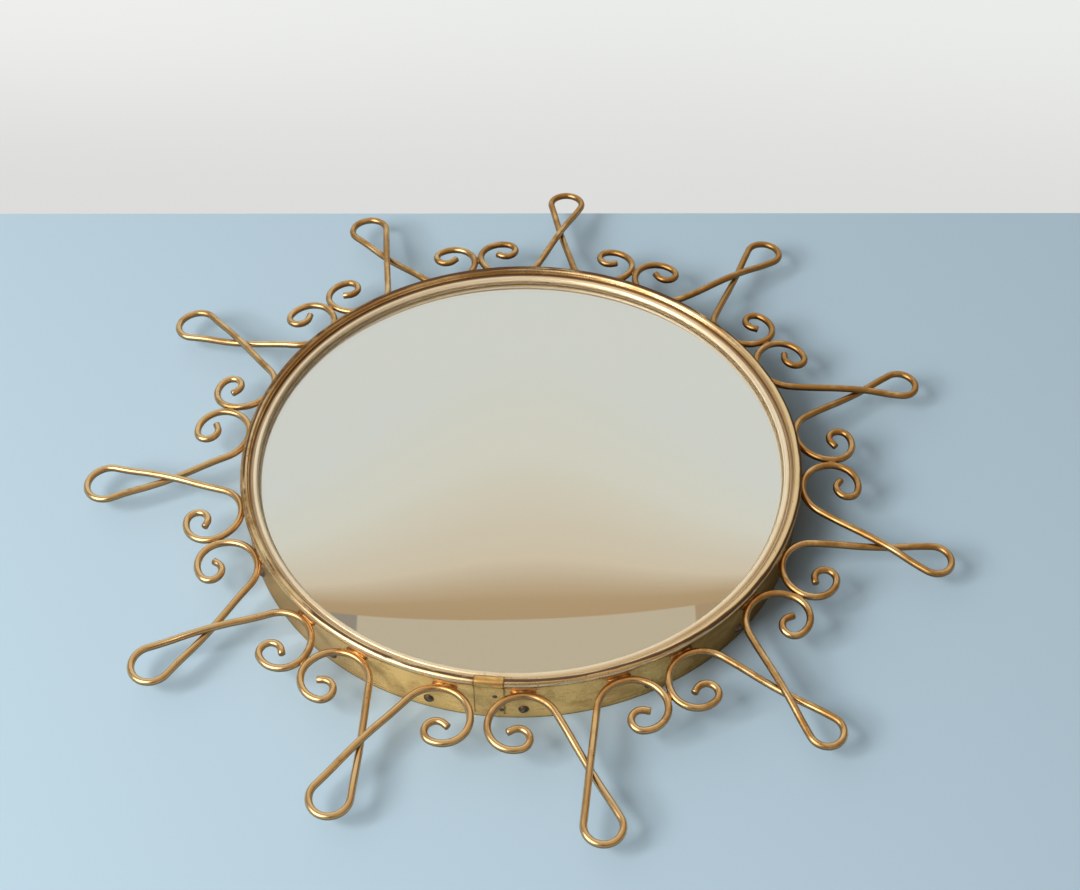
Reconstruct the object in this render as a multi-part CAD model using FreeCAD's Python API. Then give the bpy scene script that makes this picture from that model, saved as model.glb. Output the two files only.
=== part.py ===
import FreeCAD, Part
import math
import os

# Sunburst wall mirror: a convex glass in a brass band with eleven bent-wire rays.
# The mirror lies on its back: the band's rear rim is on z = 0, +Z points out of
# the glass, Z is the axis of the band and -Y is the bottom edge when it hangs.
# Lengths are in millimetres and angles in degrees.

# Band: a brass strip bent into a ring, its front edge rolled into a bead
bead_outer_radius = 175.0
bead_radius = 2.8
bead_overhang = 1.8
bead_height = 32.5
band_sheet = 0.8
band_seam_gap = 0.6
band_seam_deg = -90.0
roll_end_deg = 200.0

# Joint cover: a strap over the seam, wrapped over the bead and riveted to the skirt
cover_width = 17.8
cover_sheet = 0.6
cover_clearance = 0.05
cover_foot_height = 4.0
cover_end_deg = 155.0
rivet_head_radius = 1.5
rivet_head_height = 0.7
rivet_shank_radius = 0.8
rivet_clearance = 0.05
rivet_offsets = (3.3, 7.0)
rivet_heights = (20.9, 8.4)

# Front bezel: a formed ring with a flange under the roll, a cove, a bead and a lip
bezel_sheet = 0.7
bezel_width = 5.5
bezel_bead_radius = 1.7
bezel_cove_radius = 0.8
bezel_slope_deg = 30.0
bezel_lip_drop = 0.6
bezel_clearance = 0.3
bezel_seam_gap = 0.3
bezel_seam_deg = -91.0

# Mirror glass: a bent disc of even thickness, and the ring that packs its edge
glass_rise = 22.5
glass_thickness = 3.0
glass_clearance = 0.8
glass_seat_clearance = 0.1
packing_width = 10.0
packing_clearance = 0.4

# Back board: a plywood disc that the band is screwed to
board_recess = 5.0
board_thickness = 7.0
board_clearance = 0.5

# Round-head wood screws through the skirt into the edge of the board
screw_head_radius = 3.2
screw_head_height = 2.2
screw_shank_radius = 1.4
screw_length = 14.0
screw_slot_width = 0.8
screw_slot_depth = 1.1
screw_point_share = 0.3
screw_clearance = 0.1
screw_slot_turn_deg = 67.0
screw_degs = (-124, -102, -83.5, -58.5, -36, -13, 10, 33, 56, 79, 102, 125, 148, 170, 193, 210)

# Rays: round wire, a loop whose strands cross and end in scrolls
wire_diameter = 4.4
ray_reach = 96.0
ray_drop = 7.5
ray_lean_deg = 5.5
loop_radius = 11.3
base_radius = 20.7
scroll_radius = 15.0
scroll_turn_deg = 115.0
eye_radius = 6.65
eye_turn_deg = 192.0
end_stub = 3.5
crossing_gap = 0.1
solder_gap = 0.3
seam_opening = 5.6
# Rays stand where the hand set them, clockwise from the top; the widest gap is at the seam
ray_degs = (89, 56.5, 23, -10, -42.5, -74, -108, -140, -173, -206, -239)
seam_after_ray = 6
# Each loop was bent by hand: its reach and its radius as shares of the two values above
ray_reach_shares = (0.99, 1.045, 0.98, 1.0, 1.0, 1.005, 1.0, 1.01, 1.025, 1.0, 0.955)
loop_radius_shares = (0.95, 0.95, 0.9, 0.92, 0.9, 0.97, 1.04, 1.09, 1.15, 1.1, 1.04)

# Solder at the band and between neighbouring scrolls
rim_solder_radius = 3.0
rim_solder_depth = 1.7
scroll_solder_radius = 1.8
scroll_solder_top = 0.9
scroll_solder_foot = 2.7
solder_clearance = 0.05

# Hanger: a strap with a rolled knuckle on the back board, and a wire loop in the knuckle
hanger_inset = 51.9
strap_width = 13.0
strap_length = 26.0
strap_sheet = 0.8
loop_wire_radius = 1.2
loop_running_clearance = 0.08
loop_half_width = 11.0
loop_corner_radius = 3.0
loop_side = 6.0
loop_floor_clearance = 0.1
strap_screw_offsets = (9.0, 19.0)
strap_screw_head_radius = 2.8
strap_screw_head_height = 1.4
strap_screw_length = 6.0
overrun = 1.0

# Sizes that follow from the ones above
skirt_outer_radius = bead_outer_radius - bead_overhang
skirt_inner_radius = skirt_outer_radius - band_sheet
bead_centre_radius = bead_outer_radius - bead_radius
wire_radius = wire_diameter / 2
contact_radius = skirt_outer_radius + solder_gap + wire_radius
ray_height = bead_height - ray_drop
board_front = board_recess + board_thickness
screw_height = board_recess + board_thickness / 2
board_radius = skirt_inner_radius - board_clearance
hanger_height = board_radius - hanger_inset
glass_radius = skirt_inner_radius - glass_clearance
glass_front_radius = (glass_radius**2 + glass_rise**2) / (2 * glass_rise)
glass_rear_radius = glass_front_radius - glass_thickness
lip_face_radius = bead_centre_radius - bead_radius - bezel_width
roll_end_height = bead_height + bead_radius * math.sin(math.radians(roll_end_deg))
flange_middle = roll_end_height - bezel_clearance - bezel_sheet / 2
bezel_step = bezel_bead_radius + bezel_cove_radius
bezel_bead_height = flange_middle + bezel_cove_radius - bezel_step * math.sin(math.radians(bezel_slope_deg))
lip_bottom = bezel_bead_height - bezel_lip_drop
glass_seat_height = lip_bottom - glass_seat_clearance
glass_centre_height = glass_seat_height - math.sqrt(glass_front_radius**2 - lip_face_radius**2)
knuckle_inner_radius = loop_wire_radius + loop_running_clearance
knuckle_radius = knuckle_inner_radius + strap_sheet
knuckle_height = board_recess - knuckle_radius
loop_reach = loop_corner_radius + loop_side + loop_half_width
loop_sag_deg = math.degrees(
    math.asin((knuckle_height - loop_wire_radius - loop_floor_clearance) / loop_reach))

X_AXIS = FreeCAD.Vector(1, 0, 0)
Y_AXIS = FreeCAD.Vector(0, 1, 0)
Z_AXIS = FreeCAD.Vector(0, 0, 1)
ORIGIN = FreeCAD.Vector(0, 0, 0)


def section(radius, height):
    """A point of a turned profile."""
    return FreeCAD.Vector(radius, 0, height)


def plan(x, y, z=0):
    """A point of a ray before it is set on the band: x runs outwards, y along the rim."""
    return FreeCAD.Vector(x, y, z)


def line(start, end):
    return Part.LineSegment(start, end).toShape()


def on_circle(point, centre, radius, degrees):
    """The point of a circle at an angle, in the plane that the function point draws in."""
    angle = math.radians(degrees)
    return point(centre[0] + radius * math.cos(angle), centre[1] + radius * math.sin(angle))


def arc(point, centre, radius, start_deg, end_deg):
    middle_deg = (start_deg + end_deg) / 2
    points = [on_circle(point, centre, radius, degrees) for degrees in (start_deg, middle_deg, end_deg)]
    return Part.Arc(*points).toShape()


def turned(edges, sweep_deg=360.0, start_deg=0.0):
    """Turn a closed profile about the Z axis."""
    solid = Part.Face(Part.Wire(edges)).revolve(ORIGIN, Z_AXIS, sweep_deg)
    solid.rotate(ORIGIN, Z_AXIS, start_deg)
    return solid


def swept_wire(edges, radius):
    """Round wire along a path, with its volume checked against section times length."""
    path = Part.Wire(edges)
    start = path.Edges[0]
    begin = start.valueAt(start.FirstParameter)
    heading = start.tangentAt(start.FirstParameter)
    rim = Part.Wire(Part.makeCircle(radius, begin, heading))
    solid = path.makePipeShell([rim], True, False)
    expected = math.pi * radius**2 * path.Length
    print("wire", round(path.Length, 1), "mm, volume ratio", round(solid.Volume / expected, 4))
    return solid


def open_ring(edges, seam_gap, seam_deg, radius):
    """Turn a profile into a ring whose two ends stop short of each other at the seam."""
    gap_deg = math.degrees(seam_gap / radius)
    return turned(edges, 360.0 - gap_deg, seam_deg + gap_deg / 2)


def set_radially(shape, degrees, radius, height):
    """Set a part that stands on its local Z axis on the band, with that axis pointing outwards."""
    outwards = FreeCAD.Rotation(Z_AXIS, degrees).multiply(FreeCAD.Rotation(Y_AXIS, 90))
    foot = FreeCAD.Rotation(Z_AXIS, degrees).multVec(FreeCAD.Vector(radius, 0, height))
    shape.Placement = FreeCAD.Placement(foot, outwards).multiply(shape.Placement)
    return shape


def domed_head(radius, height, shank_radius, shank_length, point_share=0.0):
    """A fastener with a domed head above z = 0 and a shank below it."""
    dome_radius = (radius**2 + height**2) / (2 * height)
    dome_centre = (0, height - dome_radius)
    rim_deg = math.degrees(math.atan2(-dome_centre[1], radius))
    neck = -shank_length * (1 - point_share)
    outline = [section(0, -shank_length)]
    if point_share:
        outline.append(section(shank_radius, neck))
    else:
        outline.append(section(shank_radius, -shank_length))
    outline += [section(shank_radius, 0), section(radius, 0)]
    edges = [line(a, b) for a, b in zip(outline, outline[1:])]
    edges.append(arc(section, dome_centre, dome_radius, rim_deg, 90.0))
    edges.append(line(section(0, height), outline[0]))
    return turned(edges)


def slotted_screw(head_radius, head_height, length, turn_deg):
    screw = domed_head(head_radius, head_height, screw_shank_radius, length, screw_point_share)
    slot = Part.makeBox(
        2 * head_radius, screw_slot_width, screw_slot_depth,
        FreeCAD.Vector(-head_radius, -screw_slot_width / 2, head_height - screw_slot_depth))
    screw = screw.cut(slot)
    screw.rotate(ORIGIN, Z_AXIS, turn_deg)
    return screw


def skirt_hole(radius, degrees, height):
    """A round hole through the skirt and into what lies behind it."""
    depth = screw_length + overrun
    hole = Part.makeCylinder(radius, depth + overrun, FreeCAD.Vector(0, 0, -depth))
    return set_radially(hole, degrees, skirt_outer_radius, height)


def rivet_places():
    for offset, height in zip(rivet_offsets, rivet_heights):
        yield band_seam_deg + math.degrees(offset / skirt_outer_radius), height


def make_band():
    centre = (bead_centre_radius, bead_height)
    roll_inner_radius = bead_radius - band_sheet
    outer_step = skirt_outer_radius - bead_centre_radius
    inner_step = skirt_inner_radius - bead_centre_radius
    outer_deg = -math.degrees(math.acos(outer_step / bead_radius))
    inner_deg = -math.degrees(math.acos(inner_step / roll_inner_radius))
    outer_top = on_circle(section, centre, bead_radius, outer_deg)
    inner_top = on_circle(section, centre, roll_inner_radius, inner_deg)
    rear_inner = section(skirt_inner_radius, 0)
    rear_outer = section(skirt_outer_radius, 0)
    roll_end = on_circle(section, centre, bead_radius, roll_end_deg)
    roll_end_inner = on_circle(section, centre, roll_inner_radius, roll_end_deg)
    edges = [
        line(rear_inner, rear_outer),
        line(rear_outer, outer_top),
        arc(section, centre, bead_radius, outer_deg, roll_end_deg),
        line(roll_end, roll_end_inner),
        arc(section, centre, roll_inner_radius, roll_end_deg, inner_deg),
        line(inner_top, rear_inner),
    ]
    band = open_ring(edges, band_seam_gap, band_seam_deg, skirt_outer_radius)
    holes = [skirt_hole(screw_shank_radius + screw_clearance, degrees, screw_height) for degrees in screw_degs]
    holes += [skirt_hole(rivet_shank_radius + rivet_clearance, *place) for place in rivet_places()]
    return band.cut(holes)


def make_joint_cover():
    centre = (bead_centre_radius, bead_height)
    inner = cover_clearance
    outer = cover_clearance + cover_sheet
    edges = []
    tops = []
    ends = []
    for offset in (inner, outer):
        radius = bead_radius + offset
        step = skirt_outer_radius + offset - bead_centre_radius
        start_deg = -math.degrees(math.acos(step / radius))
        foot = section(skirt_outer_radius + offset, cover_foot_height)
        edges.append(line(foot, on_circle(section, centre, radius, start_deg)))
        edges.append(arc(section, centre, radius, start_deg, cover_end_deg))
        tops.append(on_circle(section, centre, radius, cover_end_deg))
        ends.append(foot)
    edges += [line(*tops), line(*ends)]
    sweep_deg = math.degrees(cover_width / skirt_outer_radius)
    profile = Part.__sortEdges__(edges)
    cover = turned(profile, sweep_deg, band_seam_deg - sweep_deg / 2)
    return cover.cut([skirt_hole(rivet_shank_radius + rivet_clearance, *place) for place in rivet_places()])


def make_joint_rivets():
    seat = skirt_outer_radius + cover_clearance + cover_sheet
    shank = cover_clearance + cover_sheet + band_sheet
    rivets = []
    for degrees, height in rivet_places():
        rivet = domed_head(rivet_head_radius, rivet_head_height, rivet_shank_radius, shank)
        rivets.append(set_radially(rivet, degrees, seat, height))
    return Part.makeCompound(rivets)


def make_front_bezel():
    half = bezel_sheet / 2
    bead_centre = (lip_face_radius + half + bezel_bead_radius, bezel_bead_height)
    slope = math.radians(bezel_slope_deg)
    cove_centre = (bead_centre[0] + bezel_step * math.cos(slope), bead_centre[1] + bezel_step * math.sin(slope))
    flange_radius = skirt_inner_radius - bezel_clearance
    top_bead = bezel_bead_radius + half
    low_bead = bezel_bead_radius - half
    top_cove = bezel_cove_radius - half
    low_cove = bezel_cove_radius + half
    turn_deg = 180.0 + bezel_slope_deg
    lip_face = section(lip_face_radius, lip_bottom)
    lip_back = section(lip_face_radius + bezel_sheet, lip_bottom)
    flange_top = section(flange_radius, flange_middle + half)
    flange_low = section(flange_radius, flange_middle - half)
    edges = [
        line(lip_back, lip_face),
        line(lip_face, on_circle(section, bead_centre, top_bead, 180.0)),
        arc(section, bead_centre, top_bead, 180.0, bezel_slope_deg),
        arc(section, cove_centre, top_cove, turn_deg, 270.0),
        line(on_circle(section, cove_centre, top_cove, 270.0), flange_top),
        line(flange_top, flange_low),
        line(flange_low, on_circle(section, cove_centre, low_cove, 270.0)),
        arc(section, cove_centre, low_cove, 270.0, turn_deg),
        arc(section, bead_centre, low_bead, bezel_slope_deg, 180.0),
        line(on_circle(section, bead_centre, low_bead, 180.0), lip_back),
    ]
    return open_ring(edges, bezel_seam_gap, bezel_seam_deg, lip_face_radius)


def glass_height(radius, sphere_radius):
    """Height of the front or rear of the glass at a distance from the axis."""
    return glass_centre_height + math.sqrt(sphere_radius**2 - radius**2)


def make_mirror_glass():
    centre = (0, glass_centre_height)
    front_deg = math.degrees(math.acos(glass_radius / glass_front_radius))
    rear_deg = math.degrees(math.acos(glass_radius / glass_rear_radius))
    front_edge = section(glass_radius, glass_height(glass_radius, glass_front_radius))
    rear_edge = section(glass_radius, glass_height(glass_radius, glass_rear_radius))
    front_top = section(0, glass_height(0, glass_front_radius))
    rear_top = section(0, glass_height(0, glass_rear_radius))
    return turned([
        arc(section, centre, glass_front_radius, 90.0, front_deg),
        line(front_edge, rear_edge),
        arc(section, centre, glass_rear_radius, rear_deg, 90.0),
        line(rear_top, front_top),
    ])


def make_glass_packing():
    outer = skirt_inner_radius - packing_clearance
    inner = outer - packing_width
    corners = [
        section(inner, board_front),
        section(outer, board_front),
        section(outer, glass_height(outer, glass_rear_radius) - glass_seat_clearance),
        section(inner, glass_height(inner, glass_rear_radius) - glass_seat_clearance),
    ]
    return turned([line(a, b) for a, b in zip(corners, corners[1:] + corners[:1])])


def strap_screw_places():
    return [FreeCAD.Vector(0, hanger_height - offset, board_recess) for offset in strap_screw_offsets]


def make_back_board():
    board = Part.makeCylinder(board_radius, board_thickness, FreeCAD.Vector(0, 0, board_recess))
    hole_radius = screw_shank_radius + screw_clearance
    holes = [skirt_hole(hole_radius, degrees, screw_height) for degrees in screw_degs]
    holes += [Part.makeCylinder(hole_radius, strap_screw_length, place) for place in strap_screw_places()]
    return board.cut(holes)


def make_band_screws():
    screws = []
    for number, degrees in enumerate(screw_degs):
        screw = slotted_screw(screw_head_radius, screw_head_height, screw_length, number * screw_slot_turn_deg)
        screws.append(set_radially(screw, degrees, skirt_outer_radius, screw_height))
    return Part.makeCompound(screws)


def make_hanger_plate():
    corner = FreeCAD.Vector(-strap_width / 2, hanger_height - strap_length, board_recess - strap_sheet)
    strap = Part.makeBox(strap_width, strap_length, strap_sheet, corner)
    knuckle_end = FreeCAD.Vector(-strap_width / 2, hanger_height, knuckle_height)
    knuckle = Part.makeCylinder(knuckle_radius, strap_width, knuckle_end, X_AXIS)
    bore = Part.makeCylinder(knuckle_inner_radius, strap_width, knuckle_end, X_AXIS)
    holes = []
    for place in strap_screw_places():
        hole_radius = screw_shank_radius + screw_clearance
        holes.append(Part.makeCylinder(hole_radius, 2 * strap_sheet, place - Z_AXIS * strap_sheet))
    return strap.fuse(knuckle).cut([bore] + holes).removeSplitter()


def make_hanger_ring():
    half = loop_half_width
    corner = loop_corner_radius
    straight = half - corner
    side_end = corner + loop_side
    edges = [line(plan(-straight, 0), plan(straight, 0))]
    edges.append(arc(plan, (straight, corner), corner, -90.0, 0.0))
    edges.append(line(plan(half, corner), plan(half, side_end)))
    edges.append(arc(plan, (0, side_end), half, 0.0, 90.0))
    edges.append(arc(plan, (0, side_end), half, 90.0, 180.0))
    edges.append(line(plan(-half, side_end), plan(-half, corner)))
    edges.append(arc(plan, (-straight, corner), corner, 180.0, 270.0))
    ring = swept_wire(edges, loop_wire_radius)
    ring.rotate(ORIGIN, X_AXIS, -loop_sag_deg)
    ring.translate(FreeCAD.Vector(0, hanger_height, knuckle_height))
    return ring


def make_hanger_screws():
    screws = []
    for place in strap_screw_places():
        screw = slotted_screw(strap_screw_head_radius, strap_screw_head_height, strap_screw_length, 0)
        screw.rotate(ORIGIN, X_AXIS, 180)
        screw.translate(place - Z_AXIS * strap_sheet)
        screws.append(screw)
    return Part.makeCompound(screws)


def half_gaps(number):
    """Half the angle to the next ray counter-clockwise and clockwise, and whether each is at the seam."""
    count = len(ray_degs)
    here = ray_degs[number]
    before = (ray_degs[number - 1] - here) % 360
    after = (here - ray_degs[(number + 1) % count]) % 360
    return (before / 2, number == seam_after_ray), (after / 2, number + 1 == seam_after_ray)


def base_circle(half_gap_deg, at_seam):
    """Centre of the curve that meets the band, placed so that its outer side meets the neighbour's."""
    spare = seam_opening / 2 if at_seam else solder_gap / 2
    distance = contact_radius + base_radius
    reach_deg = math.degrees(math.asin((base_radius + wire_radius + spare) / distance))
    angle_deg = half_gap_deg - reach_deg
    angle = math.radians(angle_deg)
    return (distance * math.cos(angle), distance * math.sin(angle)), angle_deg


def hump(start, top, end, lift):
    """A strand between two points, lifted over the other strand by four arcs in its upright plane."""
    edges = []
    for foot, inwards in ((start, True), (end, False)):
        run = top - foot
        length = run.Length
        along = run / length
        bend = (length**2 + lift**2) / (4 * abs(lift))
        half_turn = math.asin(length / 2 / bend) / 2
        low = foot + along * (bend * math.sin(half_turn))
        low.z = foot.z + math.copysign(bend * (1 - math.cos(half_turn)), lift)
        middle = foot + along * (length / 2)
        middle.z = foot.z + lift / 2
        high = top - along * (bend * math.sin(half_turn))
        high.z = foot.z + lift - math.copysign(bend * (1 - math.cos(half_turn)), lift)
        crest = FreeCAD.Vector(top.x, top.y, foot.z + lift)
        pair = [Part.Arc(foot, low, middle).toShape(), Part.Arc(middle, high, crest).toShape()]
        if not inwards:
            pair = [Part.Arc(crest, high, middle).toShape(), Part.Arc(middle, low, foot).toShape()]
        edges += pair
    return edges


def make_strand(number, side, half_gap_deg, at_seam):
    """One half of a ray, from the tip of the loop to the end of the scroll on the given side."""

    def point(x, y):
        return plan(x, side * y)

    tip_radius = loop_radius * loop_radius_shares[number]
    loop_centre = (contact_radius + ray_reach * ray_reach_shares[number] - tip_radius, 0)
    base_centre = base_circle(half_gap_deg, at_seam)[0]
    step_x = base_centre[0] - loop_centre[0]
    step_y = base_centre[1] - loop_centre[1]
    distance = math.hypot(step_x, step_y)
    widening_deg = math.degrees(math.asin((base_radius - tip_radius) / distance))
    heading_deg = math.degrees(math.atan2(step_y, step_x)) + widening_deg
    leave_deg = heading_deg + 90.0
    loop_point = on_circle(point, loop_centre, tip_radius, leave_deg)
    base_point = on_circle(point, base_centre, base_radius, leave_deg)
    share = loop_point.y / (loop_point.y - base_point.y)
    crossing = loop_point + (base_point - loop_point) * share
    lift = side * (wire_diameter + crossing_gap) / 2
    edges = [arc(point, loop_centre, tip_radius, 360.0, leave_deg)]
    edges += hump(loop_point, crossing, base_point, lift)
    turn_deg = leave_deg
    centre = base_centre
    radius = base_radius
    touch_deg = half_gap_deg + 90.0
    arcs = [(base_radius, leave_deg - touch_deg), (scroll_radius, scroll_turn_deg)]
    arcs += [(eye_radius, eye_turn_deg / 2)] * 2
    for next_radius, sweep_deg in arcs:
        inwards = math.radians(turn_deg)
        centre = (
            centre[0] + (radius - next_radius) * math.cos(inwards),
            centre[1] + (radius - next_radius) * math.sin(inwards))
        radius = next_radius
        edges.append(arc(point, centre, radius, turn_deg, turn_deg - sweep_deg))
        turn_deg -= sweep_deg
    end = on_circle(point, centre, radius, turn_deg)
    end_heading = math.radians(turn_deg - 90.0)
    stub = point(end_stub * math.cos(end_heading), end_stub * math.sin(end_heading))
    edges.append(line(end, end + stub))
    return edges


def ray_placement(number):
    """Lean a ray back about the rim, raise it to its height on the skirt and turn it to its place."""
    lean = FreeCAD.Placement(ORIGIN, FreeCAD.Rotation(Y_AXIS, ray_lean_deg), plan(contact_radius, 0))
    turn = FreeCAD.Placement(Z_AXIS * ray_height, FreeCAD.Rotation(Z_AXIS, ray_degs[number]))
    return turn.multiply(lean)


def make_ray(number):
    left, right = half_gaps(number)
    strand = make_strand(number, 1, *left)
    other = make_strand(number, -1, *right)
    path = Part.__sortEdges__(strand + other)
    ray = swept_wire(path, wire_radius)
    ray.Placement = ray_placement(number)
    return ray


def base_ring(number, side, half_gap_deg, at_seam):
    """The full ring of wire that a ray's base curve is part of, with room for solder to end on it."""
    (x, y), angle_deg = base_circle(half_gap_deg, at_seam)
    ring = Part.makeTorus(base_radius, wire_radius + solder_clearance)
    ring.translate(plan(x, side * y))
    ring.Placement = ray_placement(number).multiply(ring.Placement)
    return ring, side * angle_deg


def make_rim_solder():
    skirt = skirt_outer_radius + solder_clearance
    pads = []
    for number in range(len(ray_degs)):
        for side, gap in zip((1, -1), half_gaps(number)):
            ring, angle_deg = base_ring(number, side, *gap)
            angle = math.radians(angle_deg)
            foot = plan(contact_radius * math.cos(angle), contact_radius * math.sin(angle))
            height = ray_placement(number).multVec(foot).z
            pad = Part.makeCylinder(rim_solder_radius, rim_solder_depth + overrun, Z_AXIS * -overrun)
            pad = set_radially(pad, ray_degs[number] + angle_deg, skirt_outer_radius, height)
            core = Part.makeCylinder(skirt, bead_height)
            pads.append(pad.cut([core, ring]))
    return Part.makeCompound(pads)


def make_scroll_solder():
    """Solder in the valley behind each pair of scrolls that touch."""
    blobs = []
    count = len(ray_degs)
    for number in range(count):
        if number + 1 == seam_after_ray:
            continue
        following = (number + 1) % count
        right = half_gaps(number)[1]
        left = half_gaps(following)[0]
        rings = [base_ring(number, -1, *right)[0], base_ring(following, 1, *left)[0]]
        base_centre, angle_deg = base_circle(*right)
        along = math.hypot(*base_centre) * math.cos(math.radians(right[0] - angle_deg))
        touch = math.radians(right[0])
        place = plan(along * math.cos(touch), -along * math.sin(touch), -scroll_solder_foot)
        blob = Part.makeCylinder(scroll_solder_radius, scroll_solder_foot - scroll_solder_top, place)
        blob.Placement = ray_placement(number).multiply(blob.Placement)
        blobs.append(blob.cut(rings))
    return Part.makeCompound(blobs)


def main():
    os.makedirs("parts", exist_ok=True)
    shapes = {
        "band": make_band(),
        "joint_cover": make_joint_cover(),
        "joint_rivets": make_joint_rivets(),
        "front_bezel": make_front_bezel(),
        "mirror_glass": make_mirror_glass(),
        "glass_packing": make_glass_packing(),
        "back_board": make_back_board(),
        "band_screws": make_band_screws(),
        "hanger_plate": make_hanger_plate(),
        "hanger_ring": make_hanger_ring(),
        "hanger_screws": make_hanger_screws(),
        "rim_solder": make_rim_solder(),
        "scroll_solder": make_scroll_solder(),
    }
    for number in range(len(ray_degs)):
        shapes["ray_%02d" % (number + 1)] = make_ray(number)
    for name, shape in shapes.items():
        shape.exportStep("parts/%s.step" % name)
        print(name, len(shape.Solids), "solids", round(shape.Volume, 1), shape.isValid())


main()
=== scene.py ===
import math

import bpy
from mathutils import Matrix, Vector


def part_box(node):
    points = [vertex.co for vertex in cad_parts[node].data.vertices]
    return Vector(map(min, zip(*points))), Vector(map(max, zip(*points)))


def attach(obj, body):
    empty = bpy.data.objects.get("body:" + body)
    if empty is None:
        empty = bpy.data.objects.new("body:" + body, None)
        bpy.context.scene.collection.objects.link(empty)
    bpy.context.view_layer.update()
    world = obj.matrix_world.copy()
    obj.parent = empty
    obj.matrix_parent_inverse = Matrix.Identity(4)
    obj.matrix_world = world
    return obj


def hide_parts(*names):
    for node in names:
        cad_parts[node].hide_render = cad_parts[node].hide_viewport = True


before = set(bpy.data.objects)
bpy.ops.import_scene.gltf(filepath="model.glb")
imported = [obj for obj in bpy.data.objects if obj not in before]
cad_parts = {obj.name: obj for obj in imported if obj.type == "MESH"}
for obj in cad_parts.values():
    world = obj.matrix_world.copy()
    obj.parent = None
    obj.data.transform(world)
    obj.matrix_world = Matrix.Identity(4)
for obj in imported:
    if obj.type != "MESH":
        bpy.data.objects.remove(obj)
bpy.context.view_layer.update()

# Sizes are in metres and angles in degrees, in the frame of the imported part:
# the mirror lies on its back on z = 0 and Z is the axis of the band.
band_low, band_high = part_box("band")
glass_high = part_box("mirror_glass")[1]
BEAD_RADIUS = (band_high.x - band_low.x) / 2
BEAD_OVERHANG = 0.0018
SKIRT_RADIUS = BEAD_RADIUS - BEAD_OVERHANG
BEAD_SECTION = 0.0028
BEAD_HEIGHT = band_high.z - BEAD_SECTION
BEAD_CENTRE = (BEAD_RADIUS - BEAD_SECTION, BEAD_HEIGHT)
BEAD_NECK = 0.002
SKIRT_TOP = BEAD_HEIGHT - BEAD_NECK
BEZEL_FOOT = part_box("front_bezel")[0].z

# Rays: one wire each, a loop whose strands cross and end in scrolls
WIRE_RADIUS = 0.0022
RAY_REACH = 0.096
RAY_HEIGHT = 0.025
RAY_LEAN = 5.5
LOOP_RADIUS = 0.0113
BASE_RADIUS = 0.0207
SCROLL_RADIUS = 0.015
SCROLL_TURN = 115.0
EYE_RADIUS = 0.00665
EYE_TURN = 192.0
END_STUB = 0.0035
END_CHAMFER = 0.0003
CROSSING_GAP = 0.0001
SOLDER_GAP = 0.0003
SEAM_OPENING = 0.0056
RAY_DEGREES = (89, 56.5, 23, -10, -42.5, -74, -108, -140, -173, -206, -239)
SEAM_AFTER_RAY = 6
RAY_REACH_SHARES = (0.99, 1.045, 0.98, 1.0, 1.0, 1.005, 1.0, 1.01, 1.025, 1.0, 0.955)
LOOP_RADIUS_SHARES = (0.95, 0.95, 0.9, 0.92, 0.9, 0.97, 1.04, 1.09, 1.15, 1.1, 1.04)
CONTACT_RADIUS = SKIRT_RADIUS + SOLDER_GAP + WIRE_RADIUS
BEND_STEP = 4.0
STRAND_STEPS = 28
WIRE_SIDES = 24

# Brazing at the band and between neighbouring scrolls
RIM_FILLET = {"Size": (0.0075, 0.0017, 0.0022), "Unevenness": 0.0006, "Grain": 320.0}
SCROLL_FILLET = {"Size": (0.0032, 0.0015, 0.0017), "Unevenness": 0.0005, "Grain": 380.0}

# Band, the strap over its joint, and the inner ring: thin sheet rolled to a profile
BAND_SHEET = 0.0008
BAND_SEAM = (-90.0, 0.0006)
ROLL_END = 200.0
STRAP_WIDTH = 0.0178
STRAP_OFFSETS = (0.00005, 0.00065)
STRAP_FOOT = 0.004
STRAP_END = 155.0
BEZEL_SHEET = 0.0007
BEZEL_BEAD = 0.0017
BEZEL_COVE = 0.0008
BEZEL_SLOPE = 30.0
BEZEL_LIP = 0.0006
BEZEL_CLEARANCE = 0.0003
BEZEL_SEAM = (-91.0, 0.0003)
BEZEL_WIDTH = 0.0055
BEZEL_FACE = BEAD_RADIUS - 2 * BEAD_SECTION - BEZEL_WIDTH
RING_SPOKES = 540
PROFILE_STEP = 7.5
SHARP_ANGLE = 40.0

# Glass: a bent disc with a ground edge
GLASS_THICKNESS = 0.003
GLASS_RISE = 0.0225
GLASS_RINGS = 90
GLASS_SPOKES = 288
FRONT_FACING = 0.5

# View: the photograph is taken to be 1080 by 890 pixels
IMAGE_WIDTH = 1080
FOCAL_PIXELS = 2044.8
SENSOR_WIDTH = 36.0
VIEW_TURN = 6.27
VIEW_ELEVATION = 47.63
VIEW_DISTANCE = 1.2958
VIEW_TARGET = Vector((0.0119, 0.0177, 0.025))
VIEW_ROLL = 0.67


class Value:
    """One output of a node. Arithmetic on it adds Math nodes to the same tree."""

    def __init__(self, tree, socket):
        self.tree = tree
        self.socket = socket

    def output(self, name):
        """Another output of the node that this value comes from."""
        return Value(self.tree, self.socket.node.outputs[name])

    def math(self, operation, other=0.0):
        return self.tree.math(operation, self, other)

    def __add__(self, other):
        return self.math("ADD", other)

    def __sub__(self, other):
        return self.math("SUBTRACT", other)

    def __rsub__(self, other):
        return self.tree.math("SUBTRACT", other, self)

    def __mul__(self, other):
        return self.math("MULTIPLY", other)

    def __truediv__(self, other):
        return self.math("DIVIDE", other)

    def __gt__(self, other):
        return self.math("GREATER_THAN", other)

    __radd__ = __add__
    __rmul__ = __mul__

    def at_least(self, other):
        return self.math("MAXIMUM", other)

    def at_most(self, other):
        return self.math("MINIMUM", other)


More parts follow.
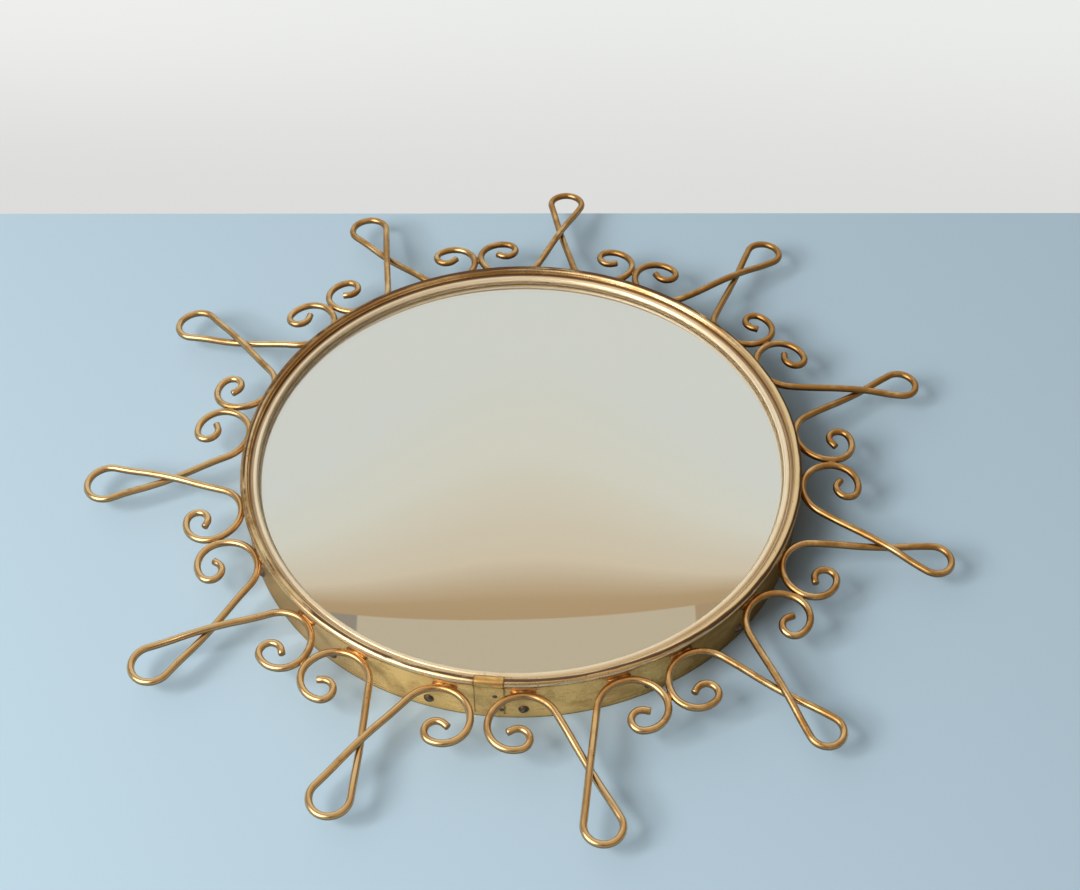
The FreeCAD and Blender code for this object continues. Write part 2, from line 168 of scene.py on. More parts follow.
class Tree:
    """A shader, world or geometry node tree that is filled node by node."""

    def __init__(self, tree):
        self.tree = tree
        self.tree.nodes.clear()

    def node(self, kind, settings=None, inputs=None, output=0):
        """Add a node: its settings first, then the values or links of its sockets."""
        made = self.tree.nodes.new(kind)
        for name, value in (settings or {}).items():
            if name == "stops":
                self.set_stops(made.color_ramp, value)
            else:
                setattr(made, name, value)
        for key, value in (inputs or {}).items():
            if isinstance(value, Value):
                self.tree.links.new(value.socket, made.inputs[key])
            else:
                made.inputs[key].default_value = value
        return Value(self, made.outputs[output]) if made.outputs else None

    def math(self, operation, first, second):
        return self.node("ShaderNodeMath", {"operation": operation}, {0: first, 1: second})

    def set_stops(self, ramp, stops):
        while len(ramp.elements) < len(stops):
            ramp.elements.new(1.0)
        for element, (position, colour) in zip(ramp.elements, stops):
            element.position = position
            element.color = (*colour, 1.0)

    def ramp(self, value, stops):
        return self.node("ShaderNodeValToRGB", {"stops": stops}, {"Fac": value})

    def axes(self, vector):
        x = self.node("ShaderNodeSeparateXYZ", None, {"Vector": vector})
        return x, x.output("Y"), x.output("Z")

    def vector(self, x, y, z):
        return self.node("ShaderNodeCombineXYZ", None, {"X": x, "Y": y, "Z": z})

    def between(self, value, low, high):
        """0 below low, 1 above high and smooth between them; low may be the larger."""
        settings = {"interpolation_type": "SMOOTHSTEP"}
        return self.node("ShaderNodeMapRange", settings, {"Value": value, "From Min": low, "From Max": high})

    def mix(self, share, first, second):
        """The first colour, going over to the second as share goes to 1."""
        colours = []
        for colour in (first, second):
            colours.append(colour if isinstance(colour, Value) else (*colour, 1.0))
        settings = {"data_type": "RGBA"}
        return self.node("ShaderNodeMix", settings, {0: share, 6: colours[0], 7: colours[1]}, output=2)

    def noise(self, place, scale, detail=2.0, roughness=0.5, distortion=0.0):
        sockets = {"Vector": place, "Scale": scale, "Detail": detail, "Roughness": roughness,
                   "Distortion": distortion}
        return self.node("ShaderNodeTexNoise", None, sockets)


class Finish(Tree):
    """A material with one Principled shader, and the fields that its colour and relief follow."""

    def __init__(self, name):
        self.material = bpy.data.materials.new(name)
        self.material.use_nodes = True
        super().__init__(self.material.node_tree)
        self.place = self.node("ShaderNodeTexCoord", output="Object")
        self.x, self.y, self.z = self.axes(self.place)

    def stretched(self, along, across):
        """Object coordinates for marks that run round the axis: slow along the rim, quick across it."""
        return self.vector(self.x * along, self.y * along, (self.z + self.from_axis()) * across)

    def from_axis(self):
        squares = self.x * self.x + self.y * self.y
        return squares.math("SQRT")

    def facing_up(self):
        """1 where the surface faces up, 0 where it is upright and less where it faces down."""
        return self.axes(self.node("ShaderNodeNewGeometry", output="Normal"))[2]

    def attribute(self, name):
        return self.node("ShaderNodeAttribute", {"attribute_name": name}, None, "Fac")

    def specks(self, scale, size):
        """Small round marks: 1 in a mark and 0 outside it."""
        cells = self.node("ShaderNodeTexVoronoi", None, {"Vector": self.place, "Scale": scale})
        return self.between(cells, size, size / 2)

    def relief(self, height, strength, distance):
        sockets = {"Height": height, "Strength": strength, "Distance": distance}
        return self.node("ShaderNodeBump", None, sockets)

    def finish(self, sockets, matt=None, share=0.0):
        """End the tree with a Principled shader, under a matt layer where its share is more than 0."""
        shader = self.node("ShaderNodeBsdfPrincipled", None, sockets)
        if matt:
            layer = self.node("ShaderNodeBsdfDiffuse", None, {"Color": (*matt, 1.0)})
            shader = self.node("ShaderNodeMixShader", None, {0: share, 1: shader, 2: layer})
        self.node("ShaderNodeOutputMaterial", None, {"Surface": shader})
        return self.material


class Recipe(Tree):
    """A geometry node tree with named inputs, which is run on a host mesh to give a finished piece."""

    def __init__(self, name, inputs):
        group = bpy.data.node_groups.new(name, "GeometryNodeTree")
        super().__init__(group)
        self.labels = {}
        group.interface.new_socket("Geometry", in_out="INPUT", socket_type="NodeSocketGeometry")
        for label, kind in inputs.items():
            socket = group.interface.new_socket(label, in_out="INPUT", socket_type="NodeSocket" + kind)
            self.labels[label] = socket.identifier
        group.interface.new_socket("Geometry", in_out="OUTPUT", socket_type="NodeSocketGeometry")
        self.entry = self.node("NodeGroupInput")

    def input(self, label):
        return self.entry.output(label)

    def field(self, name, kind="FLOAT"):
        """A named attribute of the host mesh."""
        return self.node("GeometryNodeInputNamedAttribute", {"data_type": kind}, {"Name": name})

    def store(self, geometry, name, value):
        settings = {"data_type": "FLOAT", "domain": "POINT"}
        return self.node("GeometryNodeStoreNamedAttribute", settings,
                         {"Geometry": geometry, "Name": name, "Value": value})

    def end(self, geometry):
        """Realize the result, give it its material and hand it out."""
        real = self.node("GeometryNodeRealizeInstances", None, {"Geometry": geometry})
        painted = self.node("GeometryNodeSetMaterial", None,
                            {"Geometry": real, "Material": self.input("Finish")})
        self.node("NodeGroupOutput", None, {"Geometry": painted})

    def run(self, name, host, values):
        """Run the tree on a host mesh and return the result as a plain mesh object."""
        carrier = link_object(name + "_host", host)
        modifier = carrier.modifiers.new("recipe", "NODES")
        modifier.node_group = self.tree
        for label, value in values.items():
            modifier[self.labels[label]] = value
        evaluated = carrier.evaluated_get(bpy.context.evaluated_depsgraph_get())
        mesh = bpy.data.meshes.new_from_object(evaluated)
        carrier.modifiers.remove(modifier)
        bpy.data.objects.remove(carrier)
        mesh.name = name
        return link_object(name, mesh)


def link_object(name, data):
    made = bpy.data.objects.new(name, data)
    bpy.context.scene.collection.objects.link(made)
    return made


def host_mesh(points, edges=(), directions=None):
    """A mesh of loose points or a path, with a direction at each point where one is needed."""
    mesh = bpy.data.meshes.new("host")
    mesh.from_pydata(points, edges, [])
    if directions:
        attribute = mesh.attributes.new("outwards", "FLOAT_VECTOR", "POINT")
        for item, direction in zip(attribute.data, directions):
            item.vector = direction
    return mesh


def fit_piece(piece, slot, *nodes):
    """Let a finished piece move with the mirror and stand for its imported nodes."""
    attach(piece, "mirror")
    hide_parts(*nodes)


# The bend of a ray


def on_circle(centre, radius, degrees):
    angle = math.radians(degrees)
    return centre + Vector((radius * math.cos(angle), radius * math.sin(angle), 0))


def bend(centre, radius, start, end):
    """Points along an arc, after its first one."""
    count = math.ceil(abs(end - start) / BEND_STEP)
    return [on_circle(centre, radius, start + (end - start) * step / count) for step in range(1, count + 1)]


def half_gaps(number):
    """Half the angle to the next ray on each side, and whether the band's joint lies there."""
    count = len(RAY_DEGREES)
    here = RAY_DEGREES[number]
    before = (RAY_DEGREES[number - 1] - here) % 360
    after = (here - RAY_DEGREES[(number + 1) % count]) % 360
    return (before / 2, number == SEAM_AFTER_RAY), (after / 2, number + 1 == SEAM_AFTER_RAY)


def base_circle(half_gap, at_seam):
    """Centre of the curve that touches the band, and its angle from the ray's middle."""
    spare = SEAM_OPENING / 2 if at_seam else SOLDER_GAP / 2
    distance = CONTACT_RADIUS + BASE_RADIUS
    angle = half_gap - math.degrees(math.asin((BASE_RADIUS + WIRE_RADIUS + spare) / distance))
    return on_circle(Vector(), distance, angle), angle


def crossing_run(start, end, lift):
    """The straight strand, lifted or lowered where it passes the other one."""
    share = start.y / (start.y - end.y)
    points = []
    for step in range(1, STRAND_STEPS + 1):
        along = step / STRAND_STEPS
        near = along / share if along < share else (1 - along) / (1 - share)
        rise = 2 * near * near if near < 0.5 else 1 - 2 * (1 - near) ** 2
        points.append(start.lerp(end, along) + Vector((0, 0, lift * rise)))
    return points


def strand(number, side, half_gap, at_seam):
    """Half a ray, from the tip of its loop to the cut end of its scroll."""
    tip_radius = LOOP_RADIUS * LOOP_RADIUS_SHARES[number]
    loop_centre = Vector((CONTACT_RADIUS + RAY_REACH * RAY_REACH_SHARES[number] - tip_radius, 0, 0))
    centre = base_circle(half_gap, at_seam)[0]
    step = centre - loop_centre
    widening = math.asin((BASE_RADIUS - tip_radius) / step.length)
    turn = math.degrees(math.atan2(step.y, step.x) + widening) + 90.0
    points = bend(loop_centre, tip_radius, 360.0, turn)
    lift = side * (WIRE_RADIUS + CROSSING_GAP / 2)
    points += crossing_run(points[-1], on_circle(centre, BASE_RADIUS, turn), lift)
    touch = half_gap + 90.0
    radius = BASE_RADIUS
    bends = ((BASE_RADIUS, turn - touch), (SCROLL_RADIUS, SCROLL_TURN), (EYE_RADIUS, EYE_TURN))
    for next_radius, sweep in bends:
        centre = on_circle(centre, radius - next_radius, turn)
        radius = next_radius
        points += bend(centre, radius, turn, turn - sweep)
        turn -= sweep
    for length in (END_STUB - END_CHAMFER, END_STUB):
        points.append(on_circle(centre, radius, turn) + on_circle(Vector(), length, turn - 90.0))
    return [Vector((point.x, side * point.y, point.z)) for point in points]


def ray_place(number):
    """Lean a ray back about the rim, raise it to its height and turn it to its place."""
    rim = Matrix.Translation((CONTACT_RADIUS, 0, 0))
    lean = rim @ Matrix.Rotation(math.radians(RAY_LEAN), 4, "Y") @ rim.inverted()
    turn = Matrix.Rotation(math.radians(RAY_DEGREES[number]), 4, "Z")
    return Matrix.Translation((0, 0, RAY_HEIGHT)) @ turn @ lean


def ray_path(number):
    """The wire's middle line, from the end of one scroll round the loop to the end of the other."""
    first, second = half_gaps(number)
    tip = Vector((CONTACT_RADIUS + RAY_REACH * RAY_REACH_SHARES[number], 0, 0))
    points = strand(number, 1, *first)[::-1] + [tip] + strand(number, -1, *second)
    place = ray_place(number)
    return [place @ point for point in points]


# Geometry recipes


def bent_wire_recipe():
    """Sweep a round section along a path, with its ends cut square and lightly chamfered."""
    inputs = {"Wire Radius": "Float", "Sides": "Int", "Chamfer": "Float", "Finish": "Material"}
    recipe = Recipe("bent_wire", inputs)
    path = recipe.node("GeometryNodeMeshToCurve", None, {"Mesh": recipe.input("Geometry")})
    along = recipe.node("GeometryNodeSplineParameter", output="Length")
    whole = recipe.node("GeometryNodeSplineLength")
    from_end = along.at_most(whole - along)
    chamfer = recipe.input("Chamfer")
    cut_back = chamfer / recipe.input("Wire Radius")
    scale = 1 - cut_back * (1 - (from_end / chamfer).at_most(1.0))
    path = recipe.store(path, "along", along)
    ring = recipe.node("GeometryNodeCurvePrimitiveCircle", {"mode": "RADIUS"},
                       {"Resolution": recipe.input("Sides"), "Radius": recipe.input("Wire Radius")})
    ring = recipe.store(ring, "round", recipe.node("GeometryNodeSplineParameter", output="Factor"))
    wire = recipe.node("GeometryNodeCurveToMesh", None,
                       {"Curve": path, "Profile Curve": ring, "Scale": scale, "Fill Caps": True})
    recipe.end(recipe.node("GeometryNodeSetShadeSmooth", None, {"Geometry": wire}))
    return recipe


def fillet_recipe():
    """Set a lump of brazing at each point, flattened on what it joins and a little uneven."""
    inputs = {"Size": "Vector", "Unevenness": "Float", "Grain": "Float", "Finish": "Material"}
    recipe = Recipe("brazed_fillets", inputs)
    lump = recipe.node("GeometryNodeMeshIcoSphere", None, {"Radius": 1.0, "Subdivisions": 5})
    upright = recipe.node("FunctionNodeAlignRotationToVector", {"axis": "Y", "pivot_axis": "Z"},
                          {"Vector": recipe.field("outwards", "FLOAT_VECTOR")})
    lumps = recipe.node("GeometryNodeInstanceOnPoints", None,
                        {"Points": recipe.input("Geometry"), "Instance": lump, "Rotation": upright,
                         "Scale": recipe.input("Size")})
    lumps = recipe.node("GeometryNodeRealizeInstances", None, {"Geometry": lumps})
    swell = recipe.noise(recipe.node("GeometryNodeInputPosition"), recipe.input("Grain"))
    offset = recipe.node("ShaderNodeVectorMath", {"operation": "SCALE"},
                         {0: recipe.node("GeometryNodeInputNormal"),
                          "Scale": (swell - 0.5) * recipe.input("Unevenness")})
    lumps = recipe.node("GeometryNodeSetPosition", None, {"Geometry": lumps, "Offset": offset})
    recipe.end(recipe.node("GeometryNodeSetShadeSmooth", None, {"Geometry": lumps}))
    return recipe


# Finishes: a zone holds the place where its tone begins and the place where it is full

EDGE_TINT = (0.62, 0.42, 0.22, 1.0)
HEATED_WIRE = (CONTACT_RADIUS + 0.010, CONTACT_RADIUS - 0.002)
BEAD_START = (SKIRT_TOP - 0.0015, SKIRT_TOP + 0.001)
BEAD_UNDERSIDE = (BEAD_HEIGHT + 0.0006, BEAD_HEIGHT - 0.0012)
BEAD_SHADE_BAND = (BEAD_HEIGHT - 0.0006, BEAD_HEIGHT - 0.0014)
BEAD_CREST = (BEAD_HEIGHT + 0.0002, BEAD_HEIGHT + 0.0012)
BAND_FOOT = (0.006, 0.0)
CONTACT_SHADOW_LINE = (0.0013, 0.0004)
LEFT_SIDE = (-0.05, -0.14)
RIGHT_SHADE = (0.07, 0.13)
RIGHT_CREST = (0.06, 0.15)
STRAP_EDGE = (STRAP_WIDTH / 2 - 0.0010, STRAP_WIDTH / 2 - 0.0003)
STRAP_TIP = (BEAD_RADIUS - 0.0048, BEAD_RADIUS - 0.0056)
BEZEL_GROOVE = (BEZEL_FACE + 0.0040, BEZEL_FACE + 0.0046)
BEZEL_HEM = (BEZEL_FOOT + 0.0012, BEZEL_FOOT + 0.0005)
PAINTED_REFLECTION_EDGE = (BEZEL_FACE - 0.0018, BEZEL_FACE - 0.0013)
SCREW_CROWN = (SKIRT_RADIUS + 0.0012, SKIRT_RADIUS + 0.0024)


def aged_wire_brass():
    """Drawn brass wire: warm gold, brown where it has dulled, darker to the right and on its undersides as
    painted shade, with streaks along its length.
    """
    brass = Finish("aged_wire_brass")
    turn = brass.attribute("round") * math.tau
    along = brass.attribute("along")
    x, y = brass.x, brass.y
    drawn = brass.vector(turn.math("COSINE") + x * 8.0, turn.math("SINE") + y * 8.0, along * 45.0)
    streak = brass.noise(drawn, 1.6, 4.0, 0.6)
    cloud = brass.noise(brass.place, 70.0, 5.0, 0.62)
    fine = brass.noise(brass.place, 1400.0, 2.0)
    # dull: tarnish from streaks and cloud, darker to the right as painted shade, and darker towards the
    # back.
    dull = brass.between(streak * 0.35 + cloud * 0.65 + x * 0.35 + y * 0.4, 0.40, 0.64)
    heat = brass.between(brass.from_axis(), *HEATED_WIRE)
    spot = brass.specks(330.0, 0.16) * brass.between(cloud, 0.42, 0.6)
    # Painted shade: the wire's undersides are darkened to brown.
    under = brass.between(brass.facing_up() + (cloud - 0.5) * 0.5, 0.65, 0.0)
    colour = brass.mix(dull, (0.80, 0.565, 0.295), (0.46, 0.25, 0.08))
    colour = brass.mix(under * 0.85, colour, (0.17, 0.09, 0.035))
    colour = brass.mix(heat * 0.5, colour, (0.60, 0.30, 0.095))
    colour = brass.mix(spot * 0.75, colour, (0.13, 0.07, 0.035))
    rough = 0.22 + dull * 0.12 + under * 0.06 + (fine - 0.5) * 0.05
    height = streak * 0.4 + fine * 0.1 - spot * 0.3
    return brass.finish({"Base Color": colour, "Metallic": 1.0, "Roughness": rough,
                         "Normal": brass.relief(height, 0.05, 0.0004)})


def band_brass():
    """The band: gold skirt with cloudy tarnish, painted shade on its right and a painted contact shadow
    along its foot, and a bead with a purple-brown stain along its crest and painted shade on its underside.
    """
    brass = Finish("band_brass")
    streak = brass.noise(brass.stretched(30.0, 900.0), 1.0, 4.0, 0.6)
    cloud = brass.noise(brass.place, 38.0, 5.0, 0.6, 0.4)
    patch = brass.noise(brass.place, 16.0, 6.0, 0.68, 0.3)
    fine = brass.noise(brass.place, 1500.0, 2.0)
    bead = brass.between(brass.z, *BEAD_START)
    foot = brass.between(brass.z, *BAND_FOOT)
    # Higher to the right, the front and the back: it darkens the skirt there as painted shade, and sets
    # where the bead's stain lies.
    stain_and_shade_side = (brass.x * 0.33 - brass.y * 0.27).at_least(brass.y * 0.4)
    tarnish = cloud * 0.7 + streak * 0.3
    right = brass.x.at_least(0.0)
    # dull: cloudy tarnish, with painted shade that darkens the skirt on the right.
    dull = brass.between(tarnish + stain_and_shade_side * 0.35 + right * right * 6.0, 0.49, 0.71)
    # The bead's tone: cloudy tarnish, darker towards the left and the back.
    bead_darkening = brass.between(tarnish - brass.x * 0.5 + brass.y * 0.3, 0.44, 0.66)
    skirt = brass.mix(dull, (0.96, 0.62, 0.235), (0.48, 0.26, 0.085))
    bright = brass.between(brass.x, *LEFT_SIDE) * (1 - bead)
    skirt = brass.mix(bright * 0.75, skirt, (0.66, 0.49, 0.37))
    skirt = brass.mix(foot * 0.4, skirt, (0.50, 0.34, 0.12))
    # Painted shade: the skirt is darkened on the right.
    skirt = brass.mix(brass.between(brass.x, *RIGHT_SHADE) * 0.45, skirt, (0.26, 0.155, 0.05))
    # Painted contact shadow: a dark line along the bottom edge of the skirt.
    skirt = brass.mix(brass.between(brass.z, *CONTACT_SHADOW_LINE) * 0.75, skirt, (0.14, 0.10, 0.05))
    rolled = brass.mix(bead_darkening, (0.88, 0.68, 0.40), (0.50, 0.31, 0.13))
    # Painted shade: the bead's underside is darkened to brown.
    below = brass.between(brass.z, *BEAD_UNDERSIDE)
    rolled = brass.mix(below * 0.8, rolled, (0.46, 0.25, 0.08))
    upper = brass.between(brass.z + (streak - 0.5) * 0.002, *BEAD_CREST)
    outwards = (brass.from_axis() - BEAD_CENTRE[0]) / BEAD_SECTION
    beside = outwards - 0.1 - brass.between(brass.x, *RIGHT_CREST) * 0.55 + (streak - 0.5) * 0.9
    off_line = beside.math("ABSOLUTE") + brass.x * brass.x * 6.0 - brass.y * 0.6
    line = brass.between(off_line, 0.56, 0.38)
    stain = upper * line * brass.between(patch * 0.7 + streak * 0.3 + stain_and_shade_side, 0.42, 0.52)
    rolled = brass.mix(stain * 0.92, rolled, (0.12, 0.065, 0.05))
    spot = brass.specks(240.0, 0.14) * brass.between(patch, 0.45, 0.6)
    colour = brass.mix(bead, skirt, rolled)
    colour = brass.mix(spot * 0.7, colour, (0.09, 0.055, 0.04))
    metal = 0.6 + bead * 0.4 + bright * 0.3
    # Painted shade: a matt brown layer over the lower side of the bead, in place of the metal's pale
    # reflection there.
    underside_shade_layer = brass.between(brass.z, *BEAD_SHADE_BAND) * bead
    rough = 0.26 + dull * 0.12 + stain * 0.18 + (fine - 0.5) * 0.06 - bright * 0.06
    height = streak * 0.6 + fine * 0.15 - stain * 0.25
    return brass.finish({"Base Color": colour, "Metallic": metal, "Roughness": rough,
                         "Specular IOR Level": 0.2, "Specular Tint": EDGE_TINT,
                         "Normal": brass.relief(height, 0.08, 0.0004)}, (0.34, 0.18, 0.065), underside_shade_layer)


def strap_brass():
    """The joint's strap: the band's brass, darker along its sides and at its end."""
    brass = Finish("strap_brass")
    streak = brass.noise(brass.stretched(60.0, 700.0), 1.0, 4.0, 0.6)
    cloud = brass.noise(brass.place, 110.0, 4.0, 0.6)
    dull = brass.between(cloud * 0.6 + streak * 0.4, 0.42, 0.66)
    bead = brass.between(brass.z, *BEAD_START)
    across = brass.x.math("ABSOLUTE")
    side = brass.between(across, *STRAP_EDGE)
    tip = brass.between(brass.from_axis(), *STRAP_TIP)
    colour = brass.mix(dull, (0.88, 0.57, 0.22), (0.58, 0.34, 0.125))
    colour = brass.mix(side.at_least(tip) * 0.75, colour, (0.13, 0.07, 0.04))
    rough = 0.24 + dull * 0.14
    return brass.finish({"Base Color": colour, "Metallic": 0.65 + bead * 0.35, "Roughness": rough,
                         "Specular IOR Level": 0.2, "Specular Tint": EDGE_TINT,
                         "Normal": brass.relief(streak, 0.08, 0.0004)})


def bezel_brass():
    """The inner ring: pale polished brass with faint lines round it."""
    brass = Finish("bezel_brass")
    streak = brass.noise(brass.stretched(20.0, 1800.0), 1.0, 3.0, 0.6)
    cloud = brass.noise(brass.place, 28.0, 5.0, 0.6)
    dull = brass.between(cloud * 0.6 + streak * 0.4, 0.46, 0.66)
    spot = brass.specks(300.0, 0.12) * brass.between(cloud, 0.5, 0.65)
    # Darkened in the groove under the band's roll: painted shade in the recess, with tarnish.
    groove = brass.between(brass.from_axis(), *BEZEL_GROOVE)
    colour = brass.mix(dull, (0.95, 0.82, 0.60), (0.88, 0.70, 0.46))
    colour = brass.mix(groove * 0.8, colour, (0.20, 0.11, 0.06))
    lip = brass.between(brass.z, *BEZEL_HEM)
    colour = brass.mix(lip * 0.8, colour, (0.62, 0.37, 0.15))
    colour = brass.mix(spot * 0.6, colour, (0.28, 0.17, 0.09))
    inner = brass.between(brass.facing_up(), 0.8, 0.3)
    rough = 0.32 + dull * 0.10
    return brass.finish({"Base Color": colour, "Metallic": 0.7 - inner * 0.5, "Roughness": rough,
                         "Normal": brass.relief(streak, 0.03, 0.0003)})


def brazing():
    """Brazing metal: coppery, dull and pitted, with dark flux in patches."""
    braze = Finish("brazing")
    cloud = braze.noise(braze.place, 260.0, 4.0, 0.6)
    pit = braze.noise(braze.place, 1300.0, 3.0)
    dark = braze.between(cloud, 0.38, 0.62)
    colour = braze.mix(dark, (0.68, 0.39, 0.14), (0.26, 0.13, 0.055))
    rough = 0.34 + dark * 0.16
    return braze.finish({"Base Color": colour, "Metallic": 1.0, "Roughness": rough,
                         "Normal": braze.relief(cloud + pit * 0.5, 0.25, 0.0005)})


def clear_glass():
    """The glass itself: clear, with a little dust lying on it."""
    glass = Finish("clear_glass")
    dust = glass.specks(120.0, 0.035) * glass.between(glass.noise(glass.place, 14.0), 0.5, 0.62)
    return glass.finish({"Base Color": (0.96, 0.975, 0.955, 1.0), "Roughness": 0.0, "IOR": 1.5,
                         "Transmission Weight": 1.0}, (0.75, 0.74, 0.70), dust * 0.6)


def silvering():
    """The coat behind the glass: old silver, slightly warm, with a dull golden edge by the bezel that is a
    painted reflection of the bezel.
    """
    silver = Finish("silvering")
    cloud = silver.noise(silver.place, 9.0, 4.0, 0.55)
    fox = silver.specks(90.0, 0.05) * silver.between(silver.noise(silver.place, 11.0), 0.56, 0.66)
    # Painted reflection: a pale golden band on the silver by the bezel stands in for the bezel's reflection
    # in the glass.
    edge = silver.between(silver.from_axis(), *PAINTED_REFLECTION_EDGE)
    colour = silver.mix(cloud, (0.775, 0.775, 0.745), (0.795, 0.787, 0.75))
    colour = silver.mix(edge, colour, (0.98, 0.82, 0.54))
    colour = silver.mix(fox * 0.5, colour, (0.40, 0.36, 0.30))
    rough = 0.012 + fox * 0.2 + edge * 0.45
    return silver.finish({"Base Color": colour, "Metallic": 1.0 - edge * 0.55, "Roughness": rough})


def oxidised_steel():
    """Screw heads: brown-black oxide, worn brighter on the crown."""
    steel = Finish("oxidised_steel")
    cloud = steel.noise(steel.place, 420.0, 4.0, 0.6)
    fine = steel.noise(steel.place, 2600.0, 2.0)
    worn = steel.between(steel.from_axis() + (cloud - 0.5) * 0.0016, *SCREW_CROWN)
    colour = steel.mix(cloud, (0.09, 0.066, 0.05), (0.22, 0.15, 0.10))
    colour = steel.mix(worn * 0.6, colour, (0.36, 0.29, 0.22))
    rough = 0.52 - worn * 0.18 + (fine - 0.5) * 0.2
    return steel.finish({"Base Color": colour, "Metallic": 0.85, "Roughness": rough,
                         "Normal": steel.relief(cloud + fine * 0.6, 0.3, 0.0003)})


def plated_steel():
    """The hanger: dull zinc plate, spangled, with a little rust."""
    steel = Finish("plated_steel")
    cells = steel.node("ShaderNodeTexVoronoi", None, {"Vector": steel.place, "Scale": 380.0}, "Color")
    spangle = steel.axes(cells)[0]
    cloud = steel.noise(steel.place, 190.0, 5.0, 0.65)
    rust = steel.between(cloud, 0.57, 0.72)
    colour = steel.mix(spangle, (0.44, 0.45, 0.45), (0.58, 0.585, 0.58))
    colour = steel.mix(rust * 0.8, colour, (0.26, 0.12, 0.05))
    rough = 0.36 + spangle * 0.1 + rust * 0.3
    return steel.finish({"Base Color": colour, "Metallic": 1.0 - rust * 0.7, "Roughness": rough,
                         "Normal": steel.relief(cloud, 0.15, 0.0003)})


def plywood():
    """Birch plywood: grain on the faces, plies at the edge."""
    wood = Finish("plywood")
    grain = wood.noise(wood.vector(wood.x * 260.0, wood.y * 14.0, wood.z * 200.0), 1.0, 5.0, 0.65, 0.3)
    figure = wood.noise(wood.vector(wood.x * 28.0, wood.y * 4.0, wood.z * 20.0), 1.0, 3.0, 0.5, 1.2)
    ply = wood.noise(wood.vector(0.0, 0.0, wood.z * 1000.0), 0.7, 0.0)
    face = wood.mix(figure, (0.52, 0.36, 0.20), (0.36, 0.22, 0.11))
    colour = wood.mix(wood.between(grain, 0.45, 0.75) * 0.6, face, (0.22, 0.125, 0.06))
    colour = wood.mix(ply * 0.35, colour, (0.20, 0.12, 0.06))
    rough = 0.62 + grain * 0.2
    return wood.finish({"Base Color": colour, "Roughness": rough, "Normal": wood.relief(grain, 0.3, 0.0004)})


def strawboard():
    """Packing board: yellow-grey pulp with straw fibres."""
    board = Finish("strawboard")
    fibre = board.noise(board.vector(board.x * 700.0, board.y * 240.0, board.z * 500.0), 1.0, 4.0, 0.6, 0.8)
    cloud = board.noise(board.place, 60.0, 3.0)
    colour = board.mix(fibre, (0.36, 0.27, 0.14), (0.52, 0.42, 0.25))
    colour = board.mix(cloud * 0.4, colour, (0.30, 0.23, 0.13))
    return board.finish({"Base Color": colour, "Roughness": 0.85 + (fibre - 0.5) * 0.1,
                         "Normal": board.relief(fibre, 0.4, 0.0003)})


# Pieces


def dress_node(node, finish):
    """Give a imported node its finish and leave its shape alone."""
    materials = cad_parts[node].data.materials
    materials.clear()
    materials.append(finish)


def make_rays(recipe, finish):
    for number in range(len(RAY_DEGREES)):
        points = ray_path(number)
        edges = [(index, index + 1) for index in range(len(points) - 1)]
        name = "bent_ray_%02d" % (number + 1)
        values = {"Wire Radius": WIRE_RADIUS, "Sides": WIRE_SIDES, "Chamfer": END_CHAMFER, "Finish": finish}
        ray = recipe.run(name, host_mesh(points, edges), values)
        fit_piece(ray, "ray_brass", "ray_%02d" % (number + 1))


def set_fillets(recipe, name, node, places, sizes, finish):
    """Set a fillet at each place, which is a point and the direction that the fillet faces."""
    points, directions = zip(*places)
    fillets = recipe.run(name, host_mesh(points, (), directions), {**sizes, "Finish": finish})
    fit_piece(fillets, "solder_brass", node)


def make_rim_fillets(recipe, finish):
    """Brazing where the base curves of the rays touch the band."""
    places = []
    for number in range(len(RAY_DEGREES)):
        for side, gap in zip((1, -1), half_gaps(number)):
            angle = side * base_circle(*gap)[1]
            foot = ray_place(number) @ on_circle(Vector(), CONTACT_RADIUS, angle)
            outwards = on_circle(Vector(), 1.0, RAY_DEGREES[number] + angle)
            wall = outwards * (SKIRT_RADIUS + SOLDER_GAP)
            places.append(((wall.x, wall.y, foot.z), outwards))
    set_fillets(recipe, "rim_fillets", "rim_solder", places, RIM_FILLET, finish)


def make_scroll_fillets(recipe, finish):
    """Brazing where neighbouring scrolls touch, except at the band's joint."""
    places = []
    for number in range(len(RAY_DEGREES)):
        if number + 1 == SEAM_AFTER_RAY:
            continue
        half_gap, at_seam = half_gaps(number)[1]
        centre, angle = base_circle(half_gap, at_seam)
        along = centre.length * math.cos(math.radians(half_gap - angle))
        touch = ray_place(number) @ on_circle(Vector(), along, -half_gap)
        facing = on_circle(Vector(), 1.0, RAY_DEGREES[number] - half_gap + 90.0)
        places.append((touch - Vector((0, 0, WIRE_RADIUS / 4)), facing))
    set_fillets(recipe, "scroll_fillets", "scroll_solder", places, SCROLL_FILLET, finish)


def section(centre, radius, start, end):
    """Points of a profile along an arc, as distance from the axis and height."""
    count = max(2, math.ceil(abs(end - start) / PROFILE_STEP))
    angles = [math.radians(start + (end - start) * step / count) for step in range(count + 1)]
    return [(centre[0] + radius * math.cos(angle), centre[1] + radius * math.sin(angle)) for angle in angles]


def turned_ring(name, outline, start, sweep, finish):
    """Turn a closed profile part of the way round the axis and close its two ends."""
    steps = math.ceil(RING_SPOKES * sweep / 360.0)
    size = len(outline)
    verts = []
    faces = []
    for step in range(steps + 1):
        angle = math.radians(start + sweep * step / steps)
        for distance, height in outline:
            verts.append((distance * math.cos(angle), distance * math.sin(angle), height))
    for step in range(steps):
        here = step * size
        for index in range(size):
            after = (index + 1) % size
            faces.append((here + index, here + size + index, here + size + after, here + after))
    faces += [tuple(range(size)), tuple(range(steps * size + size - 1, steps * size - 1, -1))]
    return smooth_piece(name, verts, faces, finish)


